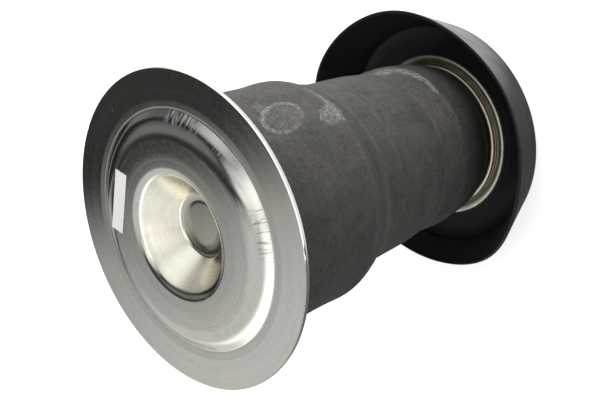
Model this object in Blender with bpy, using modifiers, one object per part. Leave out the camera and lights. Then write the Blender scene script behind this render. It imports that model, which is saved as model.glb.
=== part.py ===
"""Air bellows actuator: a rubber sleeve between a steel head plate and a moulded foot cup.

The foot cup stands on z = 0 and the stroke runs along +Z. The head plate, with its
centring cup, is the moving end. The low side of the foot cup's rim faces -Y.
"""

import math

import bmesh
import bpy
from mathutils import Matrix, Vector

MM = 0.001

# Fits
GAP = 0.3 * MM
BORE_CLEARANCE = 0.4 * MM
FULL_TURN = 2 * math.pi

# Facets round a turned piece
LARGE_FACETS = 48
SMALL_FACETS = 16
WIRE_FACETS = 6
HEX_SIDES = 6
HEX_CORNER = 1 / math.sqrt(3)
CREASE_ANGLE = math.radians(35)
MERGE_DISTANCE = 0.02 * MM
CUT_OVERSHOOT = 5 * MM
WALL_SHARE = 0.98

# Whole part
LENGTH = 379 * MM

# Head plate, a pressed sheet
HEAD_RADIUS = 150 * MM
HEAD_SHEET = 2.8 * MM
PLATEAU_HEIGHT = 9 * MM
FLANGE_WIDTH = 36.3 * MM
FLANGE_DISH = 2 * MM
SHOULDER_WIDTH = 14.1 * MM
SHOULDER_ROUND = 18 * MM
PLATEAU_FOOT_ROUND = 3 * MM
CUP_MOUTH_RADIUS = 57.5 * MM
CUP_MOUTH_ROUND = 12 * MM
CUP_FLOOR_RADIUS = 29 * MM
CUP_FLOOR_ROUND = 5 * MM
CUP_DEPTH = 32 * MM

# Retaining ring behind the head plate
RETAINER_SHEET = 2.1 * MM
RETAINER_STEP = 0.8 * MM
RETAINER_HOLD = 9.7 * MM
RETAINER_POCKET = 10 * MM
RETAINER_LIP = 3.5 * MM

# Rubber sleeve
SLEEVE_WALL = 5 * MM
SLEEVE_LARGE_RADIUS = 111 * MM
SLEEVE_SMALL_RADIUS = 92.5 * MM
SLEEVE_WAIST_RADIUS = 86 * MM
SLEEVE_SWELL_RADIUS = 87.2 * MM
SLEEVE_FOOT_RADIUS = 84.5 * MM
UPPER_ROLL_HEIGHT = 20 * MM
SHOULDER_START = 238 * MM
SHOULDER_END = 178 * MM
WAIST_HEIGHT = 98 * MM
SWELL_HEIGHT = 66 * MM
FOOT_HEIGHT = 38 * MM
NECK_RISE = 3 * MM
UPPER_BEAD_ROUND = 3 * MM
BEAD_CORNER = 1.2 * MM
BEAD_COVER = 0.6 * MM
SHOULDER_STEPS = 4
TAPER_STEPS = 2

# Steel wires in the sleeve's beads
UPPER_CORE_WIRE = 5 * MM
LOWER_CORE_WIRE = 3.4 * MM

# Foot cup, a moulding with a wavy rim that is low at -Y
FOOT_RADIUS = 121.5 * MM
FOOT_RIM_RADIUS = 143 * MM
FOOT_FLOOR = 5 * MM
FOOT_WALL = 4.5 * MM
FOOT_RIM_WALL = 3.5 * MM
FOOT_EDGE = 1.5 * MM
RIM_CHAMFER = 0.75 * MM
FOOT_INNER_ROUND = 5 * MM
RIM_MEAN_HEIGHT = 46 * MM
RIM_LEAN = 20 * MM
RIM_SADDLE = 8 * MM
RIM_SQUARE = 3.3 * MM
HUB_HEIGHT = 19 * MM
HUB_FLOOR = 5 * MM
HUB_WALL = 4.5 * MM
RECESS_CLEARANCE = 1.2 * MM

# Bead plate, a pressed sheet crimped round the lower bead
BEAD_SHEET = 2.5 * MM
LOWER_BEAD_WIDTH = 10.6 * MM
CHANNEL_HEIGHT = 11.2 * MM
CHANNEL_ROUND = 3 * MM
LIP_OVERHANG = 4.6 * MM
LIP_CHAMFER = 0.8 * MM
HUB_ROUND = 2.9 * MM

# Clamp ring round the bead plate
CLAMP_WIDTH = 10 * MM
CLAMP_HEIGHT = 6.5 * MM
CLAMP_ROUND = 3 * MM

# Foot studs, M10
STUD_COUNT = 3
FIXING_CLEARANCE = 2 * MM
STUD_START = math.radians(60)
STUD_RADIUS = 5 * MM
STUD_HEAD_RADIUS = 9 * MM
STUD_HEAD_HEIGHT = 3.5 * MM
STUD_HEAD_CHAMFER = 1.7 * MM
STUD_CHAMFER = 1 * MM
STUD_END_CLEARANCE = 2 * MM
NUT_FLATS = 17 * MM
NUT_HEIGHT = 8 * MM
WASHER_RADIUS = 10 * MM
WASHER_THICKNESS = 2 * MM

# Air port
PORT_ANGLE = 0.0
PORT_RADIUS = 9 * MM
PORT_BORE = 5.5 * MM
PORT_FLANGE_RADIUS = 13 * MM
PORT_FLANGE_HEIGHT = 4 * MM
PORT_END_CLEARANCE = 3 * MM
PORT_NUT_FLATS = 24 * MM
PORT_NUT_HEIGHT = 6 * MM
SEAL_WIRE = 1.2 * MM
SEAL_GROOVE = 0.9 * MM
SEAL_STANDOFF = 0.1 * MM
PLUG_CAP_RADIUS = 8 * MM
PLUG_CAP_HEIGHT = 1.6 * MM
PLUG_LENGTH = 9 * MM
PLUG_TAPER = 1.5 * MM

# Bump stop and its fixing, M12
BUMP_HEIGHT = 81.8 * MM
BUMP_BASE_RADIUS = 28 * MM
BUMP_WAIST_RADIUS = 22 * MM
BUMP_TOP_RADIUS = 25 * MM
BUMP_ROUND = 9 * MM
BUMP_WAIST_SHARE = 0.42
BUMP_PLATE_THICKNESS = 3 * MM
BUMP_BOSS_RADIUS = 10 * MM
BUMP_BOSS_HEIGHT = 20 * MM
BOLT_RADIUS = 6 * MM
BOLT_FLATS = 18 * MM
BOLT_HEAD_HEIGHT = 7 * MM
BOLT_WASHER_RADIUS = 12 * MM
BOLT_WASHER_THICKNESS = 2.5 * MM
BOLT_REACH = 14 * MM

# Blank paper strip on the plateau
LABEL_LENGTH = 62 * MM
LABEL_WIDTH = 15.5 * MM
LABEL_THICKNESS = 0.3 * MM
LABEL_RADIUS = 81 * MM
LABEL_ANGLE = math.radians(190)
LABEL_TURN = math.radians(97)

# Radii that follow from the sizes above
SHOULDER_FOOT_RADIUS = HEAD_RADIUS - FLANGE_WIDTH
PLATEAU_RADIUS = SHOULDER_FOOT_RADIUS - SHOULDER_WIDTH
FIXING_CIRCLE = BUMP_BASE_RADIUS + FIXING_CLEARANCE + PORT_FLANGE_RADIUS
RECESS_RADIUS = FIXING_CIRCLE + PORT_NUT_FLATS * HEX_CORNER + RECESS_CLEARANCE
HUB_RADIUS = RECESS_RADIUS + HUB_WALL
HUB_WALL_RADIUS = HUB_RADIUS + GAP + BEAD_SHEET
SLEEVE_BEAD_INNER = HUB_WALL_RADIUS + GAP
CHANNEL_RADIUS = SLEEVE_BEAD_INNER + LOWER_BEAD_WIDTH + GAP + BEAD_SHEET
LIP_RADIUS = CHANNEL_RADIUS - LIP_OVERHANG
SLEEVE_NECK_RADIUS = LIP_RADIUS - GAP
CLAMP_RADIUS = CHANNEL_RADIUS + GAP + CLAMP_WIDTH
RETAINER_BORE = SHOULDER_FOOT_RADIUS - RETAINER_HOLD
RETAINER_RADIUS = HEAD_RADIUS - RETAINER_STEP

# Heights that follow from the sizes above
RIM_FACE = LENGTH - PLATEAU_HEIGHT
FLANGE_FACE = RIM_FACE - FLANGE_DISH
CUP_FLOOR = LENGTH - CUP_DEPTH
RETAINER_TOP = FLANGE_FACE - HEAD_SHEET - GAP
RETAINER_BACK = RETAINER_TOP - RETAINER_SHEET
POCKET_FLOOR = RETAINER_TOP - RETAINER_POCKET
POCKET_BACK = POCKET_FLOOR - RETAINER_SHEET
BEAD_PLATE_BACK = HUB_HEIGHT + GAP
BEAD_PLATE_TOP = BEAD_PLATE_BACK + BEAD_SHEET
CHANNEL_BACK = FOOT_FLOOR + GAP
CHANNEL_FLOOR = CHANNEL_BACK + BEAD_SHEET
CHANNEL_TOP = CHANNEL_BACK + CHANNEL_HEIGHT
RECESS_ROOF = HUB_HEIGHT - HUB_FLOOR
BUMP_SEAT = BEAD_PLATE_TOP + GAP
BUMP_TOP = BUMP_SEAT + BUMP_HEIGHT

PART = "air_bellows_actuator"

COLOURS = {
    "zinc_plate": ((0.52, 0.53, 0.49), 0.28, 1.0),
    "zinc_ring": ((0.55, 0.55, 0.51), 0.35, 1.0),
    "passivated_steel": ((0.50, 0.46, 0.36), 0.32, 1.0),
    "sleeve_rubber": ((0.055, 0.052, 0.048), 0.85, 0.0),
    "black_moulding": ((0.012, 0.013, 0.014), 0.45, 0.0),
    "core_steel": ((0.42, 0.41, 0.39), 0.4, 1.0),
    "fastener_zinc": ((0.56, 0.56, 0.53), 0.35, 1.0),
    "brass": ((0.60, 0.44, 0.20), 0.3, 1.0),
    "seal_rubber": ((0.02, 0.02, 0.02), 0.7, 0.0),
    "plug_plastic": ((0.55, 0.05, 0.04), 0.5, 0.0),
    "bump_rubber": ((0.03, 0.03, 0.03), 0.75, 0.0),
    "paper": ((0.86, 0.84, 0.80), 0.8, 0.0),
}


def clear_scene():
    """Remove the objects that a new file starts with."""
    for item in list(bpy.data.objects):
        bpy.data.objects.remove(item, do_unlink=True)


def new_collection(name):
    """Return a collection linked to the scene."""
    group = bpy.data.collections.new(name)
    bpy.context.scene.collection.children.link(group)
    return group


def make_materials():
    """Return one Principled material for each finish."""
    made = {}
    for name, (colour, roughness, metallic) in COLOURS.items():
        material = bpy.data.materials.new(name)
        material.use_nodes = True
        shader = material.node_tree.nodes["Principled BSDF"]
        shader.inputs["Base Color"].default_value = (*colour, 1.0)
        shader.inputs["Roughness"].default_value = roughness
        shader.inputs["Metallic"].default_value = metallic
        material.diffuse_color = (*colour, 1.0)
        made[name] = material
    return made


clear_scene()
PARTS = new_collection(PART)
CUTTERS = new_collection("cutters")
MATERIALS = make_materials()


def frame_empty(name, height):
    """Return an empty on the stroke axis that carries one body's pieces."""
    empty = bpy.data.objects.new(name, None)
    empty.location = (0, 0, height)
    empty.empty_display_size = HUB_RADIUS
    PARTS.objects.link(empty)
    return empty


FOOT_FRAME = frame_empty("foot_frame", 0)
HEAD_FRAME = frame_empty("head_frame", RIM_FACE)


def place(mesh, name, finish, parent, position=(0, 0, 0), turn=0.0):
    """Add a mesh as a part, at a world position under its body's empty."""
    item = bpy.data.objects.new(name, mesh)
    item.parent = parent
    item.location = Vector(position) - parent.location
    item.rotation_euler = (0, 0, turn)
    if not mesh.materials:
        mesh.materials.append(MATERIALS[finish])
    PARTS.objects.link(item)
    return item


def shade_round(mesh):
    """Shade a mesh smooth, with its real edges kept sharp."""
    mesh.shade_smooth()
    mesh.set_sharp_from_angle(angle=CREASE_ANGLE)


def rounded(corners, steps=3):
    """Return an outline through (radius, height, fillet) corners, each with its arc.

    Fillets that share a wall too short for both are shortened together.
    """
    spots = [Vector(corner[:2]) for corner in corners]
    walls = [ahead - spot for spot, ahead in zip(spots, spots[1:])]
    halves = [0] + [(-back).angle(ahead) / 2 for back, ahead in zip(walls, walls[1:])] + [0]
    setbacks = [corner[2] / math.tan(half) if half and corner[2] > 0 else 0
                for corner, half in zip(corners, halves)]
    for index, wall in enumerate(walls):
        wanted = setbacks[index] + setbacks[index + 1]
        if wanted > WALL_SHARE * wall.length:
            shorter = WALL_SHARE * wall.length / wanted
            setbacks[index] *= shorter
            setbacks[index + 1] *= shorter
    outline = []
    for index, spot in enumerate(spots):
        setback = setbacks[index]
        if setback == 0:
            outline.append(spot)
            continue
        back = -walls[index - 1].normalized()
        ahead = walls[index].normalized()
        fillet = setback * math.tan(halves[index])
        centre = spot + (back + ahead).normalized() * fillet / math.sin(halves[index])
        start = spot + back * setback - centre
        end = spot + ahead * setback - centre
        sweep = start.angle(end)
        for step in range(steps + 1):
            share = step / steps
            spoke = start * math.sin((1 - share) * sweep) + end * math.sin(share * sweep)
            outline.append(centre + spoke / math.sin(sweep))
    return outline


def turned(name, outline, finish, parent, closed=True, facets=LARGE_FACETS, position=(0, 0, 0)):
    """Add a turned piece: its outline runs down the outer side, and a Screw turns it."""
    mesh = bpy.data.meshes.new(name)
    edges = [(k, k + 1) for k in range(len(outline) - 1)]
    if closed:
        edges.append((len(outline) - 1, 0))
    mesh.from_pydata([(point[0], 0, point[1]) for point in outline], edges, [])
    item = place(mesh, name, finish, parent, position)
    screw = item.modifiers.new("turn", "SCREW")
    screw.axis = "Z"
    screw.angle = FULL_TURN
    screw.steps = facets
    screw.render_steps = facets
    screw.use_merge_vertices = True
    screw.merge_threshold = MERGE_DISTANCE
    screw.use_smooth_shade = True
    return item


def pressed(item, sheet):
    """Give an open turned face its sheet thickness, on its inner side."""
    shell = item.modifiers.new("sheet", "SOLIDIFY")
    shell.thickness = sheet
    shell.offset = -1
    shell.use_even_offset = True
    return item


def cutter(name, rods):
    """Return one cutter made of upright rods, each (x, y, radius, low, high)."""
    shape = bmesh.new()
    for x, y, radius, low, high in rods:
        bmesh.ops.create_cone(
            shape, cap_ends=True, segments=SMALL_FACETS, radius1=radius, radius2=radius,
            depth=high - low, matrix=Matrix.Translation((x, y, (low + high) / 2)))
    mesh = bpy.data.meshes.new(name)
    shape.to_mesh(mesh)
    shape.free()
    item = bpy.data.objects.new(name, mesh)
    item.hide_render = True
    item.display_type = "WIRE"
    CUTTERS.objects.link(item)
    return item


def drill(item, rods):
    """Cut upright holes through a piece."""
    cut = item.modifiers.new("holes", "BOOLEAN")
    cut.operation = "DIFFERENCE"
    cut.solver = "EXACT"
    cut.object = cutter(item.name + "_holes", rods)


def around(circle, angle):
    """Return the x and y of a place on a circle."""
    return circle * math.cos(angle), circle * math.sin(angle)


def stud_places():
    """Return the centre of each foot stud."""
    return [around(FIXING_CIRCLE, STUD_START + FULL_TURN * k / STUD_COUNT) for k in range(STUD_COUNT)]


PORT_X, PORT_Y = around(FIXING_CIRCLE, PORT_ANGLE)


def fixing_rods(low, high):
    """Return the holes for the studs, the air port and the bump stop's bolt."""
    rods = [(x, y, STUD_RADIUS + BORE_CLEARANCE, low, high) for x, y in stud_places()]
    rods.append((PORT_X, PORT_Y, PORT_RADIUS + BORE_CLEARANCE, low, high))
    rods.append((0, 0, BOLT_RADIUS + BORE_CLEARANCE, low, high))
    return rods


def rim_height(angle):
    """Return the foot cup's height, with the angle measured from +Y, its high side."""
    wave = RIM_LEAN * math.cos(angle) - RIM_SADDLE * math.cos(2 * angle)
    return RIM_MEAN_HEIGHT + wave + RIM_SQUARE * math.cos(4 * angle)


def level_ring(radius, height):
    """Return one flat ring of points."""
    angles = [FULL_TURN * k / LARGE_FACETS for k in range(LARGE_FACETS)]
    return [(radius * math.cos(a), radius * math.sin(a), height) for a in angles]


def rim_ring(radius, drop):
    """Return one ring of points that follows the wavy rim, a drop below it."""
    ring = []
    for k in range(LARGE_FACETS):
        angle = FULL_TURN * k / LARGE_FACETS
        height = rim_height(angle - FULL_TURN / 4) - drop
        ring.append((radius * math.cos(angle), radius * math.sin(angle), height))
    return ring


def loft(name, rings):
    """Return a closed mesh skinned over rings of points, capped at both ends."""
    points = [point for ring in rings for point in ring]
    count = LARGE_FACETS
    faces = []
    for row in range(len(rings) - 1):
        for k in range(count):
            low = row * count
            high = low + count
            ahead = (k + 1) % count
            faces.append((low + k, low + ahead, high + ahead, high + k))
    faces.append(tuple(reversed(range(count))))
    faces.append(tuple(range(len(points) - count, len(points))))
    mesh = bpy.data.meshes.new(name)
    mesh.from_pydata(points, [], faces)
    mesh.update()
    return mesh


def foot_cup():
    """The black moulding: a flared wall with a wavy rim, and a raised hub over a recess."""
    inner_floor = FOOT_RADIUS - FOOT_WALL
    rings = [
        level_ring(RECESS_RADIUS, RECESS_ROOF),
        level_ring(RECESS_RADIUS, 0),
        level_ring(FOOT_RADIUS - FOOT_EDGE, 0),
        level_ring(FOOT_RADIUS, FOOT_EDGE),
        rim_ring(FOOT_RIM_RADIUS, RIM_CHAMFER),
        rim_ring(FOOT_RIM_RADIUS - RIM_CHAMFER, 0),
        rim_ring(FOOT_RIM_RADIUS - FOOT_RIM_WALL + RIM_CHAMFER, 0),
        rim_ring(FOOT_RIM_RADIUS - FOOT_RIM_WALL, RIM_CHAMFER),
        level_ring(inner_floor + FOOT_EDGE, FOOT_FLOOR + FOOT_INNER_ROUND),
        level_ring(inner_floor - FOOT_INNER_ROUND, FOOT_FLOOR),
        level_ring(HUB_RADIUS, FOOT_FLOOR),
        level_ring(HUB_RADIUS, HUB_HEIGHT),
    ]
    item = place(loft("foot_cup", rings), "foot_cup", "black_moulding", FOOT_FRAME)
    shade_round(item.data)
    drill(item, fixing_rods(RECESS_ROOF - CUT_OVERSHOOT, HUB_HEIGHT + CUT_OVERSHOOT))


def bead_plate():
    """The pressed plate on the hub, with a channel crimped round the sleeve's bead."""
    lip = CHANNEL_TOP - BEAD_SHEET
    corners = [
        (0, BEAD_PLATE_TOP, 0),
        (HUB_WALL_RADIUS, BEAD_PLATE_TOP, HUB_ROUND),
        (HUB_WALL_RADIUS, CHANNEL_FLOOR, 0),
        (CHANNEL_RADIUS - BEAD_SHEET, CHANNEL_FLOOR, 0),
        (CHANNEL_RADIUS - BEAD_SHEET, lip, 0),
        (LIP_RADIUS, lip, 0),
        (LIP_RADIUS, CHANNEL_TOP - LIP_CHAMFER, 0),
        (LIP_RADIUS + LIP_CHAMFER, CHANNEL_TOP, 0),
        (CHANNEL_RADIUS, CHANNEL_TOP, CHANNEL_ROUND),
        (CHANNEL_RADIUS, CHANNEL_BACK, CHANNEL_ROUND),
        (HUB_RADIUS + GAP, CHANNEL_BACK, 0),
        (HUB_RADIUS + GAP, BEAD_PLATE_BACK, 0),
        (0, BEAD_PLATE_BACK, 0),
    ]
    item = turned("bead_plate", rounded(corners), "passivated_steel", FOOT_FRAME, closed=False)
    drill(item, fixing_rods(BEAD_PLATE_BACK - CUT_OVERSHOOT, BEAD_PLATE_TOP + CUT_OVERSHOOT))


def clamp_ring():
    """The pale rolled ring that centres the bead plate in the foot cup."""
    bore = CHANNEL_RADIUS + GAP
    top = CHANNEL_BACK + CLAMP_HEIGHT
    corners = [
        (bore, top, 0),
        (CLAMP_RADIUS, top, CLAMP_ROUND),
        (CLAMP_RADIUS, CHANNEL_BACK, 0),
        (bore, CHANNEL_BACK, 0),
    ]
    turned("clamp_ring", rounded(corners), "zinc_ring", FOOT_FRAME)


def wire_ring(name, circle, height, wire, parent):
    """A steel bead core, turned from a round wire."""
    spokes = [FULL_TURN * k / WIRE_FACETS for k in range(WIRE_FACETS)]
    outline = [(circle + wire / 2 * math.sin(a), height + wire / 2 * math.cos(a)) for a in spokes]
    turned(name, outline, "core_steel", parent)


def lower_bead():
    """Return the sleeve's lower bead: its outer radius, top, core circle and core height."""
    outer = CHANNEL_RADIUS - BEAD_SHEET - GAP
    top = CHANNEL_TOP - BEAD_SHEET - GAP
    circle = (SLEEVE_BEAD_INNER + outer) / 2
    return outer, top, circle, CHANNEL_FLOOR + GAP + LOWER_CORE_WIRE / 2


def upper_bead():
    """Return the sleeve's upper bead: its outer radius, top, core circle and core height."""
    outer = SHOULDER_FOOT_RADIUS - GAP
    top = RETAINER_TOP
    circle = outer - UPPER_BEAD_ROUND - BEAD_COVER - GAP - UPPER_CORE_WIRE / 2
    return outer, top, circle, top - GAP - UPPER_CORE_WIRE / 2


def smooth_run(high, low, steps):
    """Return points on an S-curve between two (radius, height) ends, without the first."""
    run = []
    for step in range(1, steps + 1):
        share = step / steps
        ease = share * share * (3 - 2 * share)
        run.append((high[0] + (low[0] - high[0]) * ease, high[1] + (low[1] - high[1]) * share))
    return run


def sleeve_side(inset):
    """Return the sleeve's side from its upper neck to its lower neck, inset by a wall."""
    neck = POCKET_BACK - RETAINER_LIP - GAP
    stops = [
        ((SLEEVE_LARGE_RADIUS, neck - UPPER_ROLL_HEIGHT), TAPER_STEPS),
        ((SLEEVE_LARGE_RADIUS, SHOULDER_START), 1),
        ((SLEEVE_SMALL_RADIUS, SHOULDER_END), SHOULDER_STEPS),
        ((SLEEVE_WAIST_RADIUS, WAIST_HEIGHT), TAPER_STEPS),
        ((SLEEVE_SWELL_RADIUS, SWELL_HEIGHT), TAPER_STEPS),
        ((SLEEVE_FOOT_RADIUS, FOOT_HEIGHT), TAPER_STEPS),
        ((SLEEVE_NECK_RADIUS, CHANNEL_TOP + NECK_RISE), TAPER_STEPS + 1),
    ]
    side = [(RETAINER_BORE - GAP, neck)]
    for stop, steps in stops:
        side += smooth_run(side[-1], stop, steps)
    return [(radius - inset, height) for radius, height in side]


def bellows_sleeve():
    """The rubber sleeve with a hooked bead at each end, each bead grooved for its core."""
    outer, top, circle, core = upper_bead()
    half = UPPER_CORE_WIRE / 2 + GAP
    bore = RETAINER_BORE - GAP
    inner = min(bore - SLEEVE_WALL, circle - half - BEAD_COVER)
    outline = rounded([
        (circle + half, core - half, 0),
        (circle + half, top, 0),
        (outer, top, UPPER_BEAD_ROUND),
        (outer, POCKET_FLOOR + GAP, BEAD_CORNER),
        (bore, POCKET_FLOOR + GAP, 0),
    ], steps=2)
    outline += [Vector(point) for point in sleeve_side(0)]
    low_outer, low_top, low_circle, low_core = lower_bead()
    low_half = LOWER_CORE_WIRE / 2 + GAP
    low_face = CHANNEL_FLOOR + GAP
    outline += rounded([
        (SLEEVE_NECK_RADIUS, CHANNEL_TOP, 0),
        (SLEEVE_NECK_RADIUS, low_top, 0),
        (low_outer, low_top, 0),
        (low_outer, low_face, 0),
        (low_circle + low_half, low_face, 0),
        (low_circle + low_half, low_core + low_half, 0),
        (low_circle - low_half, low_core + low_half, 0),
        (low_circle - low_half, low_face, 0),
        (SLEEVE_BEAD_INNER, low_face, 0),
        (SLEEVE_BEAD_INNER, CHANNEL_TOP, 0),
    ])
    outline += [Vector(point) for point in reversed(sleeve_side(SLEEVE_WALL))]
    outline += [
        Vector((inner, POCKET_FLOOR)),
        Vector((inner, top)),
        Vector((circle - half, top)),
        Vector((circle - half, core - half)),
    ]
    turned("bellows_sleeve", outline, "sleeve_rubber", FOOT_FRAME)


def head_plate():
    """The pressed head plate: a dished flange, a raised plateau and a centring cup."""
    corners = [
        (0, CUP_FLOOR, 0),
        (CUP_FLOOR_RADIUS, CUP_FLOOR, CUP_FLOOR_ROUND),
        (CUP_MOUTH_RADIUS, LENGTH, CUP_MOUTH_ROUND),
        (PLATEAU_RADIUS, LENGTH, SHOULDER_ROUND),
        (SHOULDER_FOOT_RADIUS, FLANGE_FACE, PLATEAU_FOOT_ROUND),
        (HEAD_RADIUS, RIM_FACE, 0),
    ]
    item = turned("head_plate", rounded(corners), "zinc_plate", HEAD_FRAME, closed=False)
    pressed(item, HEAD_SHEET)


def retaining_ring():
    """The ring crimped behind the flange, with a pocket for the bead and a lip at its bore."""
    slope = FLANGE_DISH / (HEAD_RADIUS - SHOULDER_FOOT_RADIUS)
    rise = slope * (RETAINER_RADIUS - SHOULDER_FOOT_RADIUS)
    corners = [
        (RETAINER_BORE, POCKET_BACK - RETAINER_LIP, 0),
        (RETAINER_BORE, POCKET_FLOOR, 0),
        (SHOULDER_FOOT_RADIUS, POCKET_FLOOR, 0),
        (SHOULDER_FOOT_RADIUS, RETAINER_TOP, 0),
        (RETAINER_RADIUS, RETAINER_TOP + rise, 0),
        (RETAINER_RADIUS, RETAINER_TOP + rise - RETAINER_SHEET, 0),
        (SHOULDER_FOOT_RADIUS + RETAINER_SHEET, RETAINER_BACK, 0),
        (SHOULDER_FOOT_RADIUS + RETAINER_SHEET, POCKET_BACK, 0),
        (RETAINER_BORE + RETAINER_SHEET, POCKET_BACK, 0),
        (RETAINER_BORE + RETAINER_SHEET, POCKET_BACK - RETAINER_LIP, 0),
    ]
    turned("retaining_ring", rounded(corners), "zinc_ring", HEAD_FRAME)


def tube_outline(bore, radius, low, high):
    """Return the closed outline of a plain ring."""
    return [(bore, high), (radius, high), (radius, low), (bore, low)]


def hex_piece(name, flats, height, bore, position, finish="fastener_zinc"):
    """A hexagon nut with a plain bore, standing on a position."""
    shape = bmesh.new()
    corner = flats * HEX_CORNER
    bmesh.ops.create_cone(
        shape, cap_ends=True, segments=HEX_SIDES, radius1=corner, radius2=corner,
        depth=height, matrix=Matrix.Translation((0, 0, height / 2)))
    mesh = bpy.data.meshes.new(name)
    shape.to_mesh(mesh)
    shape.free()
    item = place(mesh, name, finish, FOOT_FRAME, position)
    if bore > 0:
        drill(item, [(position[0], position[1], bore, position[2] - height, position[2] + 2 * height)])
    return item


def foot_studs():
    """The studs through the bead plate and hub, each with its washer and nut."""
    stud_low = STUD_END_CLEARANCE
    head_low = BEAD_PLATE_TOP + GAP
    washer_low = RECESS_ROOF - GAP - WASHER_THICKNESS
    nut_low = washer_low - GAP - NUT_HEIGHT
    shank = [
        (0, head_low + STUD_HEAD_HEIGHT),
        (STUD_HEAD_RADIUS - STUD_HEAD_CHAMFER, head_low + STUD_HEAD_HEIGHT),
        (STUD_HEAD_RADIUS, head_low + STUD_HEAD_HEIGHT - STUD_HEAD_CHAMFER),
        (STUD_HEAD_RADIUS, head_low),
        (STUD_RADIUS, head_low),
        (STUD_RADIUS, stud_low + STUD_CHAMFER),
        (STUD_RADIUS - STUD_CHAMFER, stud_low),
        (0, stud_low),
    ]
    bore = STUD_RADIUS + BORE_CLEARANCE
    washer = tube_outline(bore, WASHER_RADIUS, washer_low, washer_low + WASHER_THICKNESS)
    for k, (x, y) in enumerate(stud_places(), start=1):
        turned(f"foot_stud_{k}", shank, "fastener_zinc", FOOT_FRAME,
               closed=False, facets=SMALL_FACETS, position=(x, y, 0))
        turned(f"stud_washer_{k}", washer, "fastener_zinc", FOOT_FRAME,
               facets=SMALL_FACETS, position=(x, y, 0))
        hex_piece(f"stud_nut_{k}", NUT_FLATS, NUT_HEIGHT, bore, (x, y, nut_low))


def air_port():
    """The brass port fitting with its seal, ring nut and push-in transport plug."""
    flange_low = BEAD_PLATE_TOP + GAP
    flange_top = flange_low + PORT_FLANGE_HEIGHT
    low = PORT_END_CLEARANCE
    seal_circle = (PORT_RADIUS + PORT_FLANGE_RADIUS) / 2
    groove_half = SEAL_WIRE / 2 + GAP
    fitting = [
        (PORT_BORE, flange_top),
        (PORT_FLANGE_RADIUS, flange_top),
        (PORT_FLANGE_RADIUS, flange_low),
        (seal_circle + groove_half, flange_low),
        (seal_circle + groove_half, flange_low + SEAL_GROOVE + GAP),
        (seal_circle - groove_half, flange_low + SEAL_GROOVE + GAP),
        (seal_circle - groove_half, flange_low),
        (PORT_RADIUS, flange_low),
        (PORT_RADIUS, low),
        (PORT_BORE, low),
    ]
    place_at = (PORT_X, PORT_Y, 0)
    turned("port_fitting", fitting, "brass", FOOT_FRAME, facets=SMALL_FACETS, position=place_at)
    seal_half = SEAL_WIRE / 2
    seal_low = flange_low + SEAL_STANDOFF
    seal = tube_outline(seal_circle - seal_half, seal_circle + seal_half,
                        seal_low, seal_low + SEAL_GROOVE)
    turned("port_seal", seal, "seal_rubber", FOOT_FRAME, facets=SMALL_FACETS, position=place_at)
    nut_low = RECESS_ROOF - GAP - PORT_NUT_HEIGHT
    hex_piece("port_nut", PORT_NUT_FLATS, PORT_NUT_HEIGHT, PORT_RADIUS + BORE_CLEARANCE,
              (PORT_X, PORT_Y, nut_low), "brass")
    cap_top = low - GAP
    plug_radius = PORT_BORE - GAP
    plug = [
        (0, cap_top + PLUG_LENGTH),
        (plug_radius - PLUG_TAPER, cap_top + PLUG_LENGTH),
        (plug_radius, cap_top + PLUG_LENGTH - PLUG_TAPER),
        (plug_radius, cap_top),
        (PLUG_CAP_RADIUS, cap_top),
        (PLUG_CAP_RADIUS, cap_top - PLUG_CAP_HEIGHT),
        (0, cap_top - PLUG_CAP_HEIGHT),
    ]
    turned("port_plug", plug, "plug_plastic", FOOT_FRAME,
           closed=False, facets=SMALL_FACETS, position=place_at)


def bump_stop():
    """The rubber bump stop on its threaded base plate, bolted through the hub."""
    plate_top = BUMP_SEAT + BUMP_PLATE_THICKNESS
    boss_top = plate_top + BUMP_BOSS_HEIGHT
    bolt_bore = BOLT_RADIUS + BORE_CLEARANCE
    plate = [
        (bolt_bore, boss_top),
        (BUMP_BOSS_RADIUS, boss_top),
        (BUMP_BOSS_RADIUS, plate_top),
        (BUMP_BASE_RADIUS, plate_top),
        (BUMP_BASE_RADIUS, BUMP_SEAT),
        (bolt_bore, BUMP_SEAT),
    ]
    turned("bump_stop_plate", plate, "fastener_zinc", FOOT_FRAME, facets=SMALL_FACETS)
    low = plate_top + GAP
    waist = low + (BUMP_TOP - low) * BUMP_WAIST_SHARE
    socket = BUMP_BOSS_RADIUS + GAP
    rubber = rounded([
        (0, BUMP_TOP, 0),
        (BUMP_TOP_RADIUS, BUMP_TOP, BUMP_ROUND),
        (BUMP_WAIST_RADIUS, waist, BUMP_ROUND),
        (BUMP_BASE_RADIUS, low + BUMP_ROUND, 0),
        (BUMP_BASE_RADIUS, low, 0),
        (socket, low, 0),
        (socket, boss_top + GAP, 0),
        (0, boss_top + GAP, 0),
    ])
    turned("bump_stop", rubber, "bump_rubber", FOOT_FRAME, closed=False, facets=SMALL_FACETS)
    washer_low = RECESS_ROOF - GAP - BOLT_WASHER_THICKNESS
    washer = tube_outline(bolt_bore, BOLT_WASHER_RADIUS, washer_low,
                          washer_low + BOLT_WASHER_THICKNESS)
    turned("bump_bolt_washer", washer, "fastener_zinc", FOOT_FRAME, facets=SMALL_FACETS)
    head_low = washer_low - GAP - BOLT_HEAD_HEIGHT
    bolt = hex_piece("bump_bolt", BOLT_FLATS, BOLT_HEAD_HEIGHT, 0, (0, 0, head_low))
    shank_top = plate_top + BOLT_REACH
    shank = bolt.modifiers.new("shank", "BOOLEAN")
    shank.operation = "UNION"
    shank.solver = "EXACT"
    half_head = head_low + BOLT_HEAD_HEIGHT / 2
    shank.object = cutter("bump_bolt_shank", [(0, 0, BOLT_RADIUS, half_head, shank_top)])


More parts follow.
